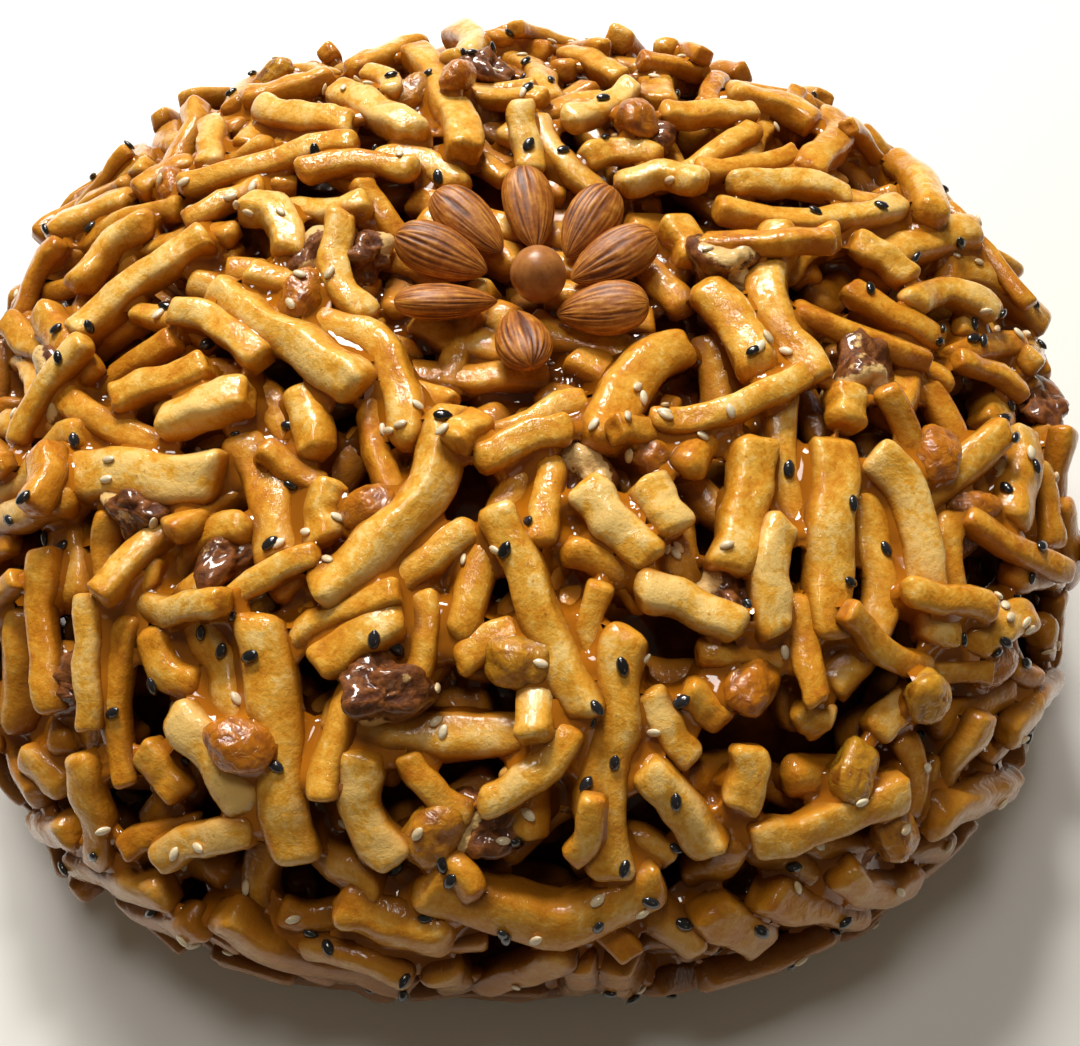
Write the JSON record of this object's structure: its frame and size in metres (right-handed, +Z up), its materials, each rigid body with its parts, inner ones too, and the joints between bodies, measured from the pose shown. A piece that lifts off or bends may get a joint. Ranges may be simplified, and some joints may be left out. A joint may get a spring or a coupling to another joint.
{
  "type": "chak-chak",
  "caption": "Round dome of fried dough sticks bound with syrup, with sesame seeds, raisins and walnut, and a flower of almonds round a hazelnut on top.",
  "frame": {"origin": "on the flat underside, under the top of the dome", "axes": "+Z up through the nut flower, -Y the front"},
  "size_m": [0.3074, 0.2921, 0.1109],
  "materials": {
    "glazed_dough": "golden fried dough under a clear amber syrup",
    "almond_skin": "dry ridged brown skin",
    "hazelnut_skin": "smooth brown skin"
  },
  "bodies": {
    "root": {"stick_dome": "glazed_dough", "almond_1": "almond_skin", "almond_2": "almond_skin", "almond_3": "almond_skin", "almond_4": "almond_skin", "almond_5": "almond_skin", "almond_6": "almond_skin", "almond_7": "almond_skin", "almond_8": "almond_skin", "hazelnut": "hazelnut_skin"}
  },
  "joints": []
}
